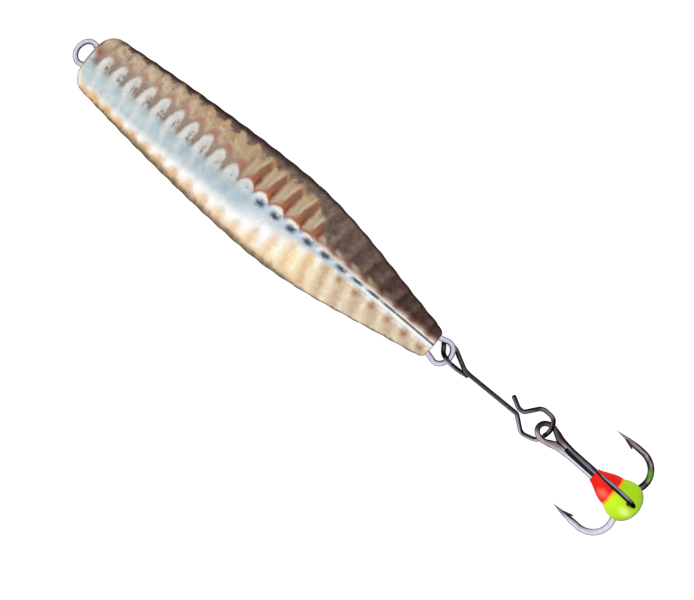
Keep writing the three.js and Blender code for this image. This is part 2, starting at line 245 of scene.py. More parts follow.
def wire_material(name, roughness, edge):
    """Drawn wire. The edge is how brightly its sides shine where they turn away."""
    material = bpy.data.materials.new(name)
    nodes, links, shader = nodes_of(material)
    shader.inputs["Metallic"].default_value = 1.0
    shader.inputs["Roughness"].default_value = roughness
    shader.inputs["Specular Tint"].default_value = (edge, edge, edge, 1)
    drawn = noise(nodes, links, scale=1500.0, detail=3.0)
    shade = ramp(nodes, [(0.35, (0.86, 0.85, 0.87)), (0.6, (1.0, 1.0, 1.0))])
    links.new(drawn.outputs["Fac"], shade.inputs["Fac"])
    tinted(nodes, links, shade, shader)
    bump(nodes, links, drawn.outputs["Fac"], strength=0.15, distance=0.02 * MM, shader=shader)
    return material


def resin_material():
    """Glossy fluorescent resin with a painted glow: its own colour shines faintly, so it gives back a
    little more light than falls on it.
    """
    material = bpy.data.materials.new("resin")
    nodes, links, shader = nodes_of(material)
    shader.inputs["Roughness"].default_value = 0.2
    shader.inputs["Specular IOR Level"].default_value = 0.12
    # Painted glow of the resin's own colour.
    shader.inputs["Emission Strength"].default_value = 0.3
    cloud = noise(nodes, links, scale=500.0, detail=2.0)
    shade = ramp(nodes, [(0.3, (0.93, 0.93, 0.9)), (0.65, (1.0, 1.0, 1.0))])
    links.new(cloud.outputs["Fac"], shade.inputs["Fac"])
    tinted(nodes, links, shade, shader)
    links.new(shader.inputs["Base Color"].links[0].from_socket, shader.inputs["Emission Color"])
    bump(nodes, links, cloud.outputs["Fac"], strength=0.1, distance=0.05 * MM, shader=shader)
    return material


# Mesh helpers


def mesh_object(name, points, faces, material, colors):
    """A smooth mesh from millimetres, with a tint for each point."""
    mesh = bpy.data.meshes.new(name)
    mesh.from_pydata([(p[0] * MM, p[1] * MM, p[2] * MM) for p in points], [], faces)
    mesh.update()
    for polygon in mesh.polygons:
        polygon.use_smooth = True
    mesh.materials.append(material)
    attribute = mesh.color_attributes.new("tint", "FLOAT_COLOR", "POINT")
    for i, color in enumerate(colors):
        attribute.data[i].color = (*color, 1.0)
    piece = bpy.data.objects.new(name, mesh)
    bpy.context.scene.collection.objects.link(piece)
    return piece


def loft_faces(rings, first):
    """Quads between rings of equal length."""
    sides = len(rings[0])
    faces = []
    for i in range(len(rings) - 1):
        for k in range(sides):
            a = first + i * sides + k
            b = first + i * sides + (k + 1) % sides
            faces.append((a, b, b + sides, a + sides))
    return faces


def loft(rings, first=0):
    """A closed skin over the rings. A fan round a middle point closes each end."""
    points = [p for ring in rings for p in ring]
    faces = loft_faces(rings, first)
    sides = len(rings[0])
    for ring, flip in ((0, True), (len(rings) - 1, False)):
        middle = sum((Vector(p) for p in rings[ring]), Vector()) / sides
        points.append(middle)
        centre = first + len(points) - 1
        for k in range(sides):
            a = first + ring * sides + k
            b = first + ring * sides + (k + 1) % sides
            faces.append((centre, b, a) if flip else (centre, a, b))
    return points, faces


def tube(path, diameter, sides):
    """Rings round a path of (point, up, wide, thin)."""
    radius = diameter / 2
    last = len(path) - 1
    rings = []
    for i, (point, up, wide, thin) in enumerate(path):
        tangent = (path[min(i + 1, last)][0] - path[max(i - 1, 0)][0]).normalized()
        side = up.cross(tangent).normalized()
        top = tangent.cross(side)
        ring = []
        for k in range(sides):
            turn = 2 * math.pi * k / sides
            across = side * (math.cos(turn) * radius * wide)
            ring.append(point + across + top * (math.sin(turn) * radius * thin))
        rings.append(ring)
    return rings


def joined(parts):
    """Several tubes in one list of points and faces, each point tinted by its place and facing, so that
    reflections and shade are painted on.
    """
    points, faces, colors = [], [], []
    for rings, tint in parts:
        more, quads = loft(rings, len(points))
        points += more
        faces += quads
        for ring in rings:
            middle = sum(ring, Vector()) / len(ring)
            colors += [tint(p, (p - middle).normalized()) for p in ring]
        for ring in (rings[0], rings[-1]):
            colors.append(tint(sum(ring, Vector()) / len(ring), Vector((0, 0, 1))))
    return points, faces, colors


def in_model(point):
    """From the body's own measures, with its head end at 0, to the model's frame."""
    return Vector((point[0] + HEAD_X, point[1] + CENTRE_Y, point[2]))


# Body


def half_width(x):
    """The outline seen from above, without its ribs and corners."""
    if x < WIDEST_AT:
        s = 1 - x / WIDEST_AT
        return HALF_WIDTH_MAX - (HALF_WIDTH_MAX - HALF_WIDTH_HEAD) * s ** OUTLINE_POWER
    s = (x - WIDEST_AT) / (BODY_LENGTH - WIDEST_AT)
    return HALF_WIDTH_MAX - (HALF_WIDTH_MAX - HALF_WIDTH_TAIL) * s * s * (TAIL_BOW - (TAIL_BOW - 1) * s)


def crease_position(i):
    return FIRST_CREASE + i * (FIRST_PITCH + i * (PITCH_GROWTH - i * PITCH_EASING))


def end_rounding(distance, reach):
    """1 at an end, falling to 0 at the reach along a quarter circle."""
    s = 1 - min(distance / reach, 1)
    return 1 - math.sqrt(1 - s * s)


def crest_half_width(x):
    return mix(CREST_HALF_WIDTH_HEAD, CREST_HALF_WIDTH_TAIL, smooth(x, *CREST_NARROWS))


FLANK_STEPS = 56
CREST_STEPS = 16
SIDE_POINT = 0.4


def body_ring(x, rib):
    """One section, from the +Y rim over the crest to the -Y rim and back under, and its marks.

    A mark says where a point lies along and across the body, and whether it is underneath.
    """
    corner = HEAD_CORNER["across"] * end_rounding(x, HEAD_CORNER["along"])
    corner += TAIL_CORNER["across"] * end_rounding(BODY_LENGTH - x, TAIL_CORNER["along"])
    drop = HEAD_CORNER["down"] * end_rounding(x, HEAD_CORNER["down"])
    drop += TAIL_CORNER["down"] * end_rounding(BODY_LENGTH - x, TAIL_CORNER["down"])
    edge = half_width(x) - corner - CREASE_DEPTH_OUTLINE * (1 - rib)
    crest = crest_half_width(x)
    slope = mix(FLANK_SLOPE, TAIL_FLANK_SLOPE, smooth(x, *FLANK_STEEPENS))
    peak = RIM_HEIGHT + slope * (half_width(x) - crest / 2)
    groove = CREASE_DEPTH_FACE * (1 - rib)
    sweep = mix(CREASE_SWEEP["head"], CREASE_SWEEP["tail"], x / BODY_LENGTH)
    lag = sweep * smooth(x, *SWEEP_STARTS) * smooth(BODY_LENGTH - x, *SWEEP_ENDS)

    def top_at(y):
        out = abs(y)
        fall = slope * out * out / (2 * crest) if out < crest else slope * (out - crest / 2)
        return max(peak - fall - groove - drop, RIM_HEIGHT - groove * RIM_CREASE_SHARE - drop / 2)

    def place(y, z):
        u = y / half_width(x)
        return in_model((x + lag * u * u, y, z))

    inner = min(crest, edge * CREST_SHARE)
    half = [mix(inner, edge, 1 - k / FLANK_STEPS) for k in range(FLANK_STEPS + 1)]
    half += [inner * (1 - (k + 0.5) / (CREST_STEPS + 0.5)) for k in range(CREST_STEPS)]
    tops = half + [-y for y in reversed(half)]
    ring = [place(y, top_at(y)) for y in tops]
    side = mix(BACK_CHAMFER, RIM_HEIGHT, SIDE_POINT)
    down = [(edge, side), (edge, BACK_CHAMFER), (edge - BACK_CHAMFER, 0)]
    under = [(-y, z) for y, z in down] + down[::-1]
    ring += [place(y, z) for y, z in under]
    return ring, [(x, y, False) for y in tops] + [(x, 0, True)] * len(under)


STATIONS_PER_RIB = 22
HEAD_END_STATIONS = (0, 0.03, 0.08, 0.16, 0.28, 0.42, 0.6, 0.8)
TAIL_END_STATIONS = (0, 0.1, 0.2, 0.35, 0.5, 0.65, 0.8, 0.9, 0.97, 1)


def body_stations():
    """Place along the body, rib height and rib phase. A phase of 0 or 1 is a crease."""
    stations = []
    first = crease_position(0)
    for f in HEAD_END_STATIONS:
        stations.append((first * f, 0.5 + 0.5 * math.cos(math.pi * f), 0.5 + f / 2))
    for i in range(RIB_COUNT):
        a, b = crease_position(i), crease_position(i + 1)
        for k in range(STATIONS_PER_RIB):
            f = k / STATIONS_PER_RIB
            stations.append((mix(a, b, f), 0.5 - 0.5 * math.cos(2 * math.pi * f), f))
    last = crease_position(RIB_COUNT)
    for f in TAIL_END_STATIONS:
        stations.append((mix(last, BODY_LENGTH, f), 0.5 - 0.5 * math.cos(math.pi * f), f / 2))
    return stations


def srgb(r, g, b):
    """A screen colour from 0 to 255, as linear light."""

    def linear(v):
        v /= 255
        return v / 12.92 if v <= 0.04045 else ((v + 0.055) / 1.055) ** 2.4

    return (linear(r), linear(g), linear(b))


def blend(a, b, f):
    f = min(max(f, 0.0), 1.0)
    return tuple(mix(p, q, f) for p, q in zip(a, b))


# The plating's own silver and warm tones, with its reflections, highlights and shade painted in. Painted
# warm light lies on one flank and painted pale light on the other.
# In the functions below, x runs in millimetres from the head end, and y from the middle line. Out is
# the distance from that line, rim the distance inside the rim, and phase runs from 0 at one crease to
# 1 at the next. A cloud is soft noise round 0. Each smooth(v, a, b) is the border between two tints.
SILVER = srgb(219, 217, 212)
RIDGE_SILVER = srgb(194, 207, 218)
PALE_BLUE = srgb(194, 209, 211)
BLUE_GREY = srgb(164, 185, 200)
SEA_GREY = srgb(170, 184, 180)
HAZE = srgb(218, 224, 226)
# Painted shade in the creases, with curled brown marks of it.
CREASE_GREY = srgb(156, 152, 140)
CREASE_BROWN = srgb(163, 144, 129)
CURL_BROWN = srgb(134, 108, 94)
WHITE = srgb(255, 255, 253)
CREAM = srgb(255, 248, 232)
# A painted warm glow of light.
GLOW = srgb(255, 246, 216)
PEACH = srgb(246, 222, 186)
BLUSH = srgb(232, 216, 206)
AMBER = srgb(226, 186, 132)
GOLD = srgb(242, 208, 158)
TAIL_TAN = srgb(219, 198, 169)
SPOT = srgb(160, 118, 82)
# Painted shade close to the pale rim.
RIM_TAN = srgb(186, 156, 126)
TAIL_COPPER = srgb(160, 118, 102)
# Painted shade: the thin line along the pale rim.
RIM_BROWN = srgb(104, 88, 74)
RIM_GREY = srgb(120, 112, 104)
PINK_BROWN = srgb(180, 152, 132)
RED_BROWN = srgb(178, 124, 100)
COPPER_RED = srgb(172, 104, 78)
COPPER = srgb(144, 102, 78)
DARK_COPPER = srgb(124, 78, 58)
TAN = srgb(196, 175, 149)
LIGHT_TAN = srgb(212, 195, 171)
GOLD_BROWN = srgb(198, 164, 118)
OLIVE = srgb(150, 130, 106)
OLIVE_CREAM = srgb(196, 180, 150)
# The band's painted dark reflection, with painted shade.
BAND = srgb(130, 112, 102)
BAND_TAIL = srgb(88, 69, 64)
# How much a cloud lifts the band's red, green and blue.
BAND_MOTTLE = (0.5, 0.72, 0.62)
# Painted shade along the warm rim.
RIM_DARK = srgb(46, 34, 34)
# Painted dark reflections along the ridge, their paler halo, and the line they join into towards the
# tail.
REFLECTED_DARK = srgb(52, 60, 72)
REFLECTED_DARK_HALO = srgb(132, 146, 160)
LINE = srgb(78, 78, 90)
HEAD_RED = srgb(178, 92, 66)
HEAD_RED_PLACE = (0.85, 1.2)
HEAD_RED_REACH = 0.9
BACK = srgb(200, 198, 192)


def bell(v, reach):
    """1 at zero, falling softly to 0 at the reach on either side."""
    return smooth(1 - abs(v) / reach, 0, 1)


def wrapped(phase, middle):
    """How far a phase is from a middle, across a crease too."""
    return (phase - middle + 0.5) % 1 - 0.5


def tide(phase, middle):
    """1 at the middle, 0 half a rib away, with no flat part."""
    return 0.5 + 0.5 * math.cos(2 * math.pi * (phase - middle))


def finger_top(x):
    """How far the painted silver highlight of a rib's middle reaches up the warm flank."""
    return mix(1.5, 2.4, smooth(x, 0, 12)) - 1.4 * smooth(x, 18, 29) - 0.6 * smooth(x, 27, 42)


def silver_edge(x, phase):
    """The arched border between the painted silver highlight on the ridge and the warm flank."""
    foot = mix(-0.1, 0.16, smooth(x, 20, 40))
    along = smooth(x, 20, 29)
    side = abs(wrapped(phase, 0.45)) / mix(0.42, 0.48, along)
    return foot + (finger_top(x) - foot) * (1 - min(side, 1) ** mix(2.8, 2.2, along))


def band_width(x, phase):
    """The band of painted dark reflection along the warm flank's rim."""
    middle = mix(-0.08, 0.1, smooth(x, 14, 26))
    size = 1.15 * smooth(x, 6, 12) * (1 - 0.5 * smooth(x, 22, 30))
    scallop = size * (tide(phase, middle) - 0.5)
    return 0.4 + 1.4 * smooth(x, 6, 33) + 6.0 * smooth(x, 35.5, 44) + scallop


def rim_distance(x, out):
    """How far a point lies inside the rim, with the rounded corners at the head."""
    return half_width(x) - HEAD_CORNER["across"] * end_rounding(x, HEAD_CORNER["along"]) - out


def toward_tail(x):
    return smooth(x, 36, 41)


def blue_head(x, out, phase, cloud):
    """Blue and hazy painted reflection, with a painted silver sheen across each rib and painted grey
    shade in the creases by the ridge.
    """
    deep = smooth(x, 8, 18) * (0.35 + 0.65 * tide(phase, 0.65)) + 0.5 * cloud
    color = blend(PALE_BLUE, BLUE_GREY, deep * (1 - 0.6 * smooth(out, 2.4, 3.6)))
    color = blend(color, HAZE, 0.9 * smooth(out + 0.4 * cloud, 1.8, 3.8) * smooth(x, 10, 22))
    grey = tide(phase, -0.05) * (1 - smooth(out, 0.4, 2.4))
    color = blend(color, SEA_GREY, grey)
    return blend(color, SILVER, 0.55 * tide(phase, 0.32 + 0.08 * out) ** 3 * (1 - smooth(x, 16, 28)))


def pale_light(x, out, rim, phase, cloud):
    """Painted pale light: blue at the head, then white, with cream towards the rim and a painted warm
    glow behind the middle.
    """
    reach = mix(3.2 + 0.4 * tide(phase, 0.0), 1.0, toward_tail(x))
    light = smooth(out + 0.5 * cloud, mix(0.8, 0.5, toward_tail(x)), reach)
    white = blend(RIDGE_SILVER, WHITE, light)
    head = 1 - smooth(x, 26, 33)
    color = blend(white, blue_head(x, out, phase, cloud), head * (1 - smooth(out, 2.8, 4.4)))
    near_rim = 1 - smooth(rim, 0.6, mix(1.5, 3.4, smooth(x, 6, 34)))
    color = blend(color, blend(CREAM, PEACH, 0.3), near_rim * mix(0.8, 1.0, smooth(x, 10, 24)))
    return blend(color, GLOW, smooth(x, 33, 38) * smooth(out, 0.8, 2.4))


def warm_creases(color, x, rim, phase):
    """A painted warm reflection reaching up from the rim at each crease, joined by a painted warm strip
    along the rim, with painted shade close to the rim.
    """
    tip = 1.8 + 0.9 * smooth(x, 4, 26) + 3.2 * smooth(x, 28, 36)
    place = mix(0.03, 0.2, smooth(x, 14, 34)) + 0.03 * (1.5 - rim) * smooth(x, 33, 38)
    wide = 0.2 + 0.5 * max(1 - rim / tip, 0) ** 0.5
    lobe = bell(wrapped(phase, place), wide) * (1 - smooth(rim, tip * 0.7, tip * 1.1))
    edge = blend(AMBER, PEACH, 0.7 * smooth(x, 14, 28))
    warm = blend(BLUSH, edge, 1 - smooth(rim, tip * 0.4, tip * 0.9))
    warm = blend(warm, GOLD, smooth(x, 36, 39))
    in_from_end = smooth(x, 0.6, 3.0)
    color = blend(color, warm, lobe * (1 - 0.7 * smooth(x, 42, 47)) * in_from_end)
    floor = (1 - smooth(rim, 0.3, mix(1.1, 2.2, smooth(x, 12, 34)))) * (1 - smooth(x, 40, 46))
    color = blend(color, blend(AMBER, PEACH, 0.7 * smooth(x, 10, 26)), 0.85 * floor * in_from_end)
    # Painted shade close to the rim.
    shade = (1 - smooth(rim, 0.2, 1.5)) * smooth(x, 3, 12) * (1 - smooth(x, 36, 42))
    return blend(color, RIM_TAN, 0.55 * shade)


def tail_stripes(color, x, out, phase, cloud):
    """Tan towards the tail, with a painted darker streak of shade and a painted lit streak to each rib,
    and a brown spot of painted shade by the ridge.
    """
    tail = smooth(x, 39.5, 46)
    color = blend(color, TAIL_TAN, 0.95 * tail * smooth(out, 0.8, 1.3))
    streak = tide(phase, 0.85 + 0.11 * out) ** 1.5 * smooth(x, 37, 42)
    color = blend(color, blend(TAIL_TAN, SPOT, 0.3), (0.7 + cloud) * streak)
    lit = tide(phase, 0.5 + 0.05 * out) ** 2 * smooth(x, 40, 44) * (1 - 0.5 * smooth(x, 50, 56))
    color = blend(color, GLOW, (0.45 + 0.6 * cloud) * lit * smooth(out, 0.9, 1.6))
    spot = bell(wrapped(phase, 0.88), 0.34) * bell(out - 1.4, 0.85) * smooth(x, 40, 46)
    return blend(color, SPOT, (0.75 + 0.4 * cloud) * spot)


def pale_flank(x, out, phase, cloud):
    """Painted pale light: pale blue at the head, white in the middle and tan at the tail, with a thin
    line of painted shade at the rim.
    """
    rim = rim_distance(x, out)
    color = pale_light(x, out, rim, phase, cloud)
    color = warm_creases(color, x, rim, phase)
    color = tail_stripes(color, x, out, phase, cloud)
    # Painted shade: a thin dark line along the rim.
    ragged = rim + 0.25 * cloud * (1 - toward_tail(x))
    line = 1 - smooth(ragged, 0.1, mix(0.5, 1.1, smooth(x, 5, 14)) - 0.7 * smooth(x, 34, 44))
    return blend(color, blend(RIM_BROWN, RIM_GREY, toward_tail(x)), line * mix(0.6, 0.9, smooth(x, 2, 6)))


def chevrons(x, out, phase, cloud):
    """Painted light and dark reflections arching over each finger at the head, with painted brown shade
    in the creases.
    """
    over = out - finger_top(x)
    peak = abs(2 * wrapped(phase, 0.54))
    level = over + peak * mix(1.7, 0.7, smooth(over, 0, 1.8)) + 0.5 * cloud
    color = blend(PINK_BROWN, LIGHT_TAN, smooth(level, 0.7, 1.5))
    color = blend(color, TAN, smooth(level, 1.6, 2.3))
    color = blend(color, GOLD_BROWN, bell(level - 2.5, 0.9) * (1 - peak) * smooth(x, 8, 16))
    color = blend(color, OLIVE, 0.45 * smooth(cloud, 0.0, 0.4) * smooth(level, 0.9, 2.0))
    # Painted brown shade in the creases.
    color = blend(color, CREASE_BROWN, (1 - smooth(out, 1.6, 3.2)) * tide(phase, 0.95))
    red = bell(over - 0.6, 1.4) * bell(wrapped(phase, 0.5), 0.6)
    return blend(color, RED_BROWN, red * mix(0.25, 0.85, smooth(x, 6, 24)))


def bars(x, phase, above, cloud):
    """Upright copper bars on a cream ground in the middle, each with a wide foot: the flank's warm tone
    with painted reflection, a painted light edge and painted shade in the crease.
    """
    color = blend(OLIVE_CREAM, TAN, 0.8 * tide(phase, -0.05) + cloud)
    lean = smooth(above, 0.6, 4.4)
    stem = bell(wrapped(phase, mix(0.64, 0.74, lean)), mix(0.46, 0.3, lean))
    copper = blend(COPPER_RED, COPPER, smooth(above + 2 * cloud, 0.6, 2.0))
    # Painted shade in the crease near the foot.
    copper = blend(copper, DARK_COPPER, bell(wrapped(phase, 0.78), 0.16) * (1 - smooth(above, 1.2, 2.4)))
    color = blend(color, copper, min(1.5 * stem, 1))
    # A painted highlight along one side of each bar.
    edge = bell(wrapped(phase, mix(0.32, 0.46, lean)), 0.1) * smooth(above, 0.8, 1.4)
    color = blend(color, LIGHT_TAN, 0.8 * edge)
    foot = 1 - smooth(above + 0.3 * cloud, 0.05, 0.75)
    return blend(color, blend(COPPER_RED, COPPER, smooth(x, 34, 40)), 0.85 * foot)


def dark_band(x, rim, phase, cloud):
    """The painted brown reflection of the band, with painted shade darkest at the rim and in the creases.
    """
    wide = band_width(x, phase)
    darker = 0.75 * smooth(x, 38, 60) + 0.6 * (1 - tide(phase, 0.45)) * smooth(x, 33, 40)
    brown = blend(BAND, BAND_TAIL, darker)
    deep = (1 - smooth(rim, 0.2, wide)) * (1 - smooth(x, 34, 40))
    brown = blend(brown, BAND_TAIL, mix(1.0, 0.75, smooth(x, 16, 28)) * deep)
    return tuple(v * (1 + lift * cloud) for v, lift in zip(brown, BAND_MOTTLE))


def warm_flank(x, out, phase, border, cloud):
    """Painted reflections on the warm flank: chevrons at the head, then bars, and a dark band that widens
    towards the tail, with a line of painted shade at the rim.
    """
    rim = rim_distance(x, out)
    above = out - border
    color = blend(chevrons(x, out, phase, cloud), bars(x, phase, above, cloud), smooth(x, 23.5, 28))
    wide = band_width(x, phase)
    roof = bell(rim - wide - 0.4 * tide(phase, 0.1) - 0.2, 0.8)
    color = blend(color, GOLD_BROWN, 0.55 * roof * smooth(x, 10, 20) * (1 - smooth(x, 34, 37)))
    ragged = rim + 0.8 * cloud
    cover = (1 - smooth(ragged, wide * 0.7, wide * 1.2 + 0.1)) * mix(0.2, 1, smooth(x, 0.8, 3.5))
    color = blend(color, dark_band(x, rim, phase, cloud), cover)
    tail = smooth(x, 37.5, 40)
    color = blend(color, TAIL_COPPER, 0.95 * (1 - smooth(above, 0.4, 1.0)) * tail)
    # Painted cream highlights by the creases towards the tail.
    oval = bell(wrapped(phase, 0.12), 0.44) * bell(out - 1.1 + 0.5 * wrapped(phase, 0.12), 0.55)
    color = blend(color, OLIVE_CREAM, 0.95 * oval * (1 - smooth(x, 45, 54)) * tail)
    color = blend(color, BLUSH, 0.8 * (1 - smooth(above, 0.15, 0.55)) * tail)
    # Painted shade: a dark line along the rim.
    line = 1 - smooth(rim, 0.1, mix(0.5, 1.0, smooth(x, 2, 8)) - 0.4 * smooth(x, 30, 42))
    return blend(color, RIM_DARK, line * mix(0.2, 0.88, smooth(x, 1, 5)))


def ridge(x, y, phase, cloud, curl):
    """Painted silver highlights as fingers at the head, with painted shade and curled brown marks in the
    gaps, and a thin bright painted highlight along the ridge towards the tail.
    """
    color = blend(SILVER, RIDGE_SILVER, smooth(x, 25, 31))
    color = blend(color, WHITE, 0.8 * smooth(x, 43, 50))
    # Painted shade in the gaps between the fingers.
    gap = smooth(phase, mix(0.64, 0.72, smooth(x, 6, 16)), 0.97) + 1 - smooth(phase, 0.0, 0.2)
    gap *= smooth(y, -1.6, -0.3) * (1 - smooth(x, 22, 29))
    color = blend(color, blend(CREASE_GREY, CREASE_BROWN, smooth(y, -0.6, 0.5)), min(gap, 1))
    smudge = bell(phase - 0.7, 0.3) * bell(y - 0.2, 1.4) * (1 - smooth(x, 17, 26))
    color = blend(color, CREASE_BROWN, smudge * (0.5 + 2.0 * cloud))
    curled = bell(phase - 0.72, 0.42) * bell(y, 1.8) * (1 - smooth(x, 18, 27)) * smooth(x, 1, 3)
    color = blend(color, CURL_BROWN, curled * smooth(curl, 0.0, 0.22))
    dome = smooth(y - silver_edge(x, phase), -1.0, -0.3) * smooth(x, 25, 30)
    arch = mix(smooth(tide(phase, 0.45), 0.1, 0.6), 0.5, smooth(x, 38, 47))
    return blend(color, CREAM, 0.85 * dome * arch)


def ridge_dark_reflections(x, y, phase):
    """The painted dark reflections along the ridge: dots, then dashes, then one line to the tail."""
    place = mix(-0.5, -0.2, smooth(x, 34, 42)) + 0.2 * smooth(x, 43, 51)
    length = mix(0.42, 0.56, smooth(x, 38, 46)) + 0.3 * smooth(x, 46, 51) + 2.5 * smooth(x, 51, 57)
    height = mix(0.72, 0.34, smooth(x, 36, 50))
    middle = 0.54 + 0.1 * smooth(x, 36.5, 41)
    return bell(phase - middle, length) * bell(y - place, height) * smooth(x, 28.4, 29.6)


def soft_noise(x, y, fine, layer):
    return grain.noise(Vector((x * fine, y * fine, layer)))


def body_tint(x, y, phase, under):
    """The tint at a point: the plating's tone with painted reflections, highlights and shade. Noise
    shifts the borders between tints, so that none runs straight.
    """
    if under:
        return BACK
    wave = soft_noise(x, y, 0.9, 3.0)
    shake = soft_noise(x, y, 2.2, 6.0)
    speckle = soft_noise(x, y, 5.0, 9.0)
    cloud = 0.7 * soft_noise(x * 1.3, y, 1.1, 14.0) + 0.5 * soft_noise(x, y, 3.1, 17.0)
    dark_reflection_mask = ridge_dark_reflections(x, y + mix(0.2, 0.04, smooth(x, 38, 50)) * shake, phase + 0.06 * shake)
    phase = min(max(phase + 0.05 * wave + 0.04 * shake, 0), 1)
    y += 0.1 * wave + 0.1 * shake + 0.04 * speckle
    border = silver_edge(x, phase)
    color = ridge(x, y, phase, cloud, soft_noise(x, y, 2.3, 31.0))
    to_pale = mix(smooth(-y, -0.2, 1.5), smooth(-y, 0.55, 1.25), smooth(x, 27, 32))
    to_pale = mix(to_pale, smooth(-y, 0.45, 0.85), smooth(x, 42, 48))
    color = blend(color, pale_flank(x, max(-y, 0.0), phase, cloud), to_pale)
    soft = mix(0.4, 0.2, smooth(x, 10, 34))
    color = blend(color, warm_flank(x, y, phase, border, cloud), smooth(y - border, -soft, soft))
    # A red spot near the head.
    from_head_red = math.hypot(x - HEAD_RED_PLACE[0], y - HEAD_RED_PLACE[1])
    color = blend(color, HEAD_RED, 0.95 * bell(from_head_red, HEAD_RED_REACH))
    # Painted dark reflections along the ridge, inside a paler painted halo.
    color = blend(color, REFLECTED_DARK_HALO, 0.55 * smooth(dark_reflection_mask, 0.0, 0.3) * (1 - smooth(x, 50, 54)))
    color = blend(color, blend(REFLECTED_DARK, LINE, smooth(x, 44, 52)), 0.9 * smooth(dark_reflection_mask, 0.15, 0.9))
    shade = 1 + 0.07 * wave + 0.06 * shake + 0.07 * speckle + 0.06 * soft_noise(x, y, 9.0, 21.0)
    return tuple(min(max(v * shade, 0.0), 1.0) for v in color)


def body_piece(material):
    rings, colors = [], []
    for x, rib, phase in body_stations():
        ring, marks = body_ring(x, rib)
        rings.append(ring)
        colors += [body_tint(a, b, phase, under) for a, b, under in marks]
    points, faces = loft(rings)
    colors += [SILVER, SILVER]
    piece = mesh_object("ribbed_body", points, faces, material, colors)
    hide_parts("jig_body")
    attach(piece, "root")


# Wires

WIRE_SIDES = 20
EYE_SIDES = 24
RING_STEPS = 48


def arc_points(centre, radii, start, end, steps):
    points = []
    for i in range(steps + 1):
        turn = math.radians(mix(start, end, i / steps))
        points.append((centre[0] + radii[0] * math.cos(turn), centre[1] + radii[1] * math.sin(turn)))
    return points


def eye_path(body_end, side, eye):
    centre = (eye["reach"] - RING[0], 0)
    ring = arc_points(centre, RING, -RING_SWING, RING_SWING, RING_STEPS)
    leg = [(-LEG_DEPTH, -eye["spread"]), (-LEG_BEND, -eye["spread"])]
    back = [(p[0], -p[1]) for p in reversed(leg)]
    up = Vector((0, 0, 1))
    path = []
    for x, y in leg + ring + back:
        path.append((in_model((body_end + side * x, eye["offset"] + side * y, EYE_HEIGHT)), up, 1, 1))
    return path


LILAC = srgb(204, 204, 226)
PALE_LILAC = srgb(230, 230, 244)
SLATE = srgb(84, 82, 100)
NAVY = srgb(34, 34, 50)
STEEL = srgb(160, 146, 146)
PINK_STEEL = srgb(196, 178, 180)
# Painted dark: where the wires reflect dark surroundings or lie in shade.
PAINTED_DARK = srgb(38, 30, 34)
BROWN_STEEL = srgb(112, 94, 92)
GREY_STEEL = srgb(120, 112, 116)
GREEN_PATCH = srgb(104, 168, 62)
GREEN_PATCH_PLACE = (46.85, 4.86)
STREAK_LILAC = srgb(186, 182, 202)


def eye_tint(centre):
    """Bright steel with painted reflections: pale on top, darker outside, and painted shadow darkest
    inside the far end of the ring.
    """

    def tint(point, facing):
        drift = 0.2 * grain.noise(point * 0.8)
        arm = Vector((point.x - centre.x, point.y - centre.y, 0)).normalized()
        outward = facing.dot(arm)
        color = blend(LILAC, PALE_LILAC, bell(outward - 0.1 + drift, 0.5))
        color = blend(color, SLATE, 0.45 * smooth(outward + drift, 0.75, 1.0))
        shadow = smooth(-outward + drift, 0.3, 0.75)
        far = smooth(arm.x * math.copysign(1, centre.x), 0.2, 0.9) * smooth(-arm.y, -0.5, 0.3)
        return blend(color, blend(SLATE, NAVY, far), 0.9 * shadow)

    return tint


def eye_piece(name, node, body_end, side, eye, material):
    middle = in_model((body_end + side * (eye["reach"] - RING[0]), eye["offset"], EYE_HEIGHT))
    wire = tube(eye_path(body_end, side, eye), EYE_WIRE, EYE_SIDES)
    points, faces, colors = joined([(wire, eye_tint(middle))])
    piece = mesh_object(name, points, faces, material, colors)
    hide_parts(node)
    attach(piece, "root")


# Corners of the bent wire: along, across, height and how far the bend reaches to either side. The
# heights of the clip follow from its lean, so its corners name none.
SNAP_LOOP = [
    (66.2, -0.19, 1.1, 0),
    (64.7, -0.45, 1.4, 0.6),
    (62.75, -0.48, 2.6, 0.7),
    (61.7, -0.02, 1.42, 0.45),
    (60.42, 1.8, 0.275, 1.05),
    (62.6, 1.56, 0.42, 0.7),
    (65.45, 0.04, 1.88, 0.8),
]
SNAP_CLIP = [
    (74.3, 0.16, 0.3),
    (76.5, -1.5, 0.8),
    (78.8, -0.82, 0.9),
    (79.15, 1.28, 0.9),
    (78.4, 2.86, 0.9),
    (76.3, 2.93, 0.8),
    (74.8, 0.88, 0.35),
    (73.95, 0.88, 0.35),
    (72.4, 1.68, 0),
]
STEM_END_HEIGHT = 2.49
CLIP_LEAN = 1.0
BEND_STEPS = 12
STEM_MIDDLE = 23.31
STEM_REACH = 5.8
SNAP_THROAT = 26.6
# Where the clip crosses the hook's eye.
CROSSING = (31.6, 32.3)


def snap_path():
    corners = [(Vector((x, y, z)), reach) for x, y, z, reach in SNAP_LOOP]
    corners += [(Vector((x, y, STEM_END_HEIGHT + CLIP_LEAN * y)), reach) for x, y, reach in SNAP_CLIP]
    points = [corners[0][0]]
    for i in range(1, len(corners) - 1):
        at, reach = corners[i]
        start = at - (at - corners[i - 1][0]).normalized() * reach
        end = at + (corners[i + 1][0] - at).normalized() * reach
        for k in range(BEND_STEPS + 1):
            f = k / BEND_STEPS
            points.append(start * (1 - f) ** 2 + at * (2 * f * (1 - f)) + end * f ** 2)
    points.append(corners[-1][0])
    up = Vector((0, 0, 1))
    path = []
    for i, point in enumerate(points):
        tangent = (points[min(i + 1, len(points) - 1)] - points[max(i - 1, 0)]).normalized()
        up = (up - tangent * up.dot(tangent)).normalized()
        path.append((in_model(point), up, 1, 1))
    return path


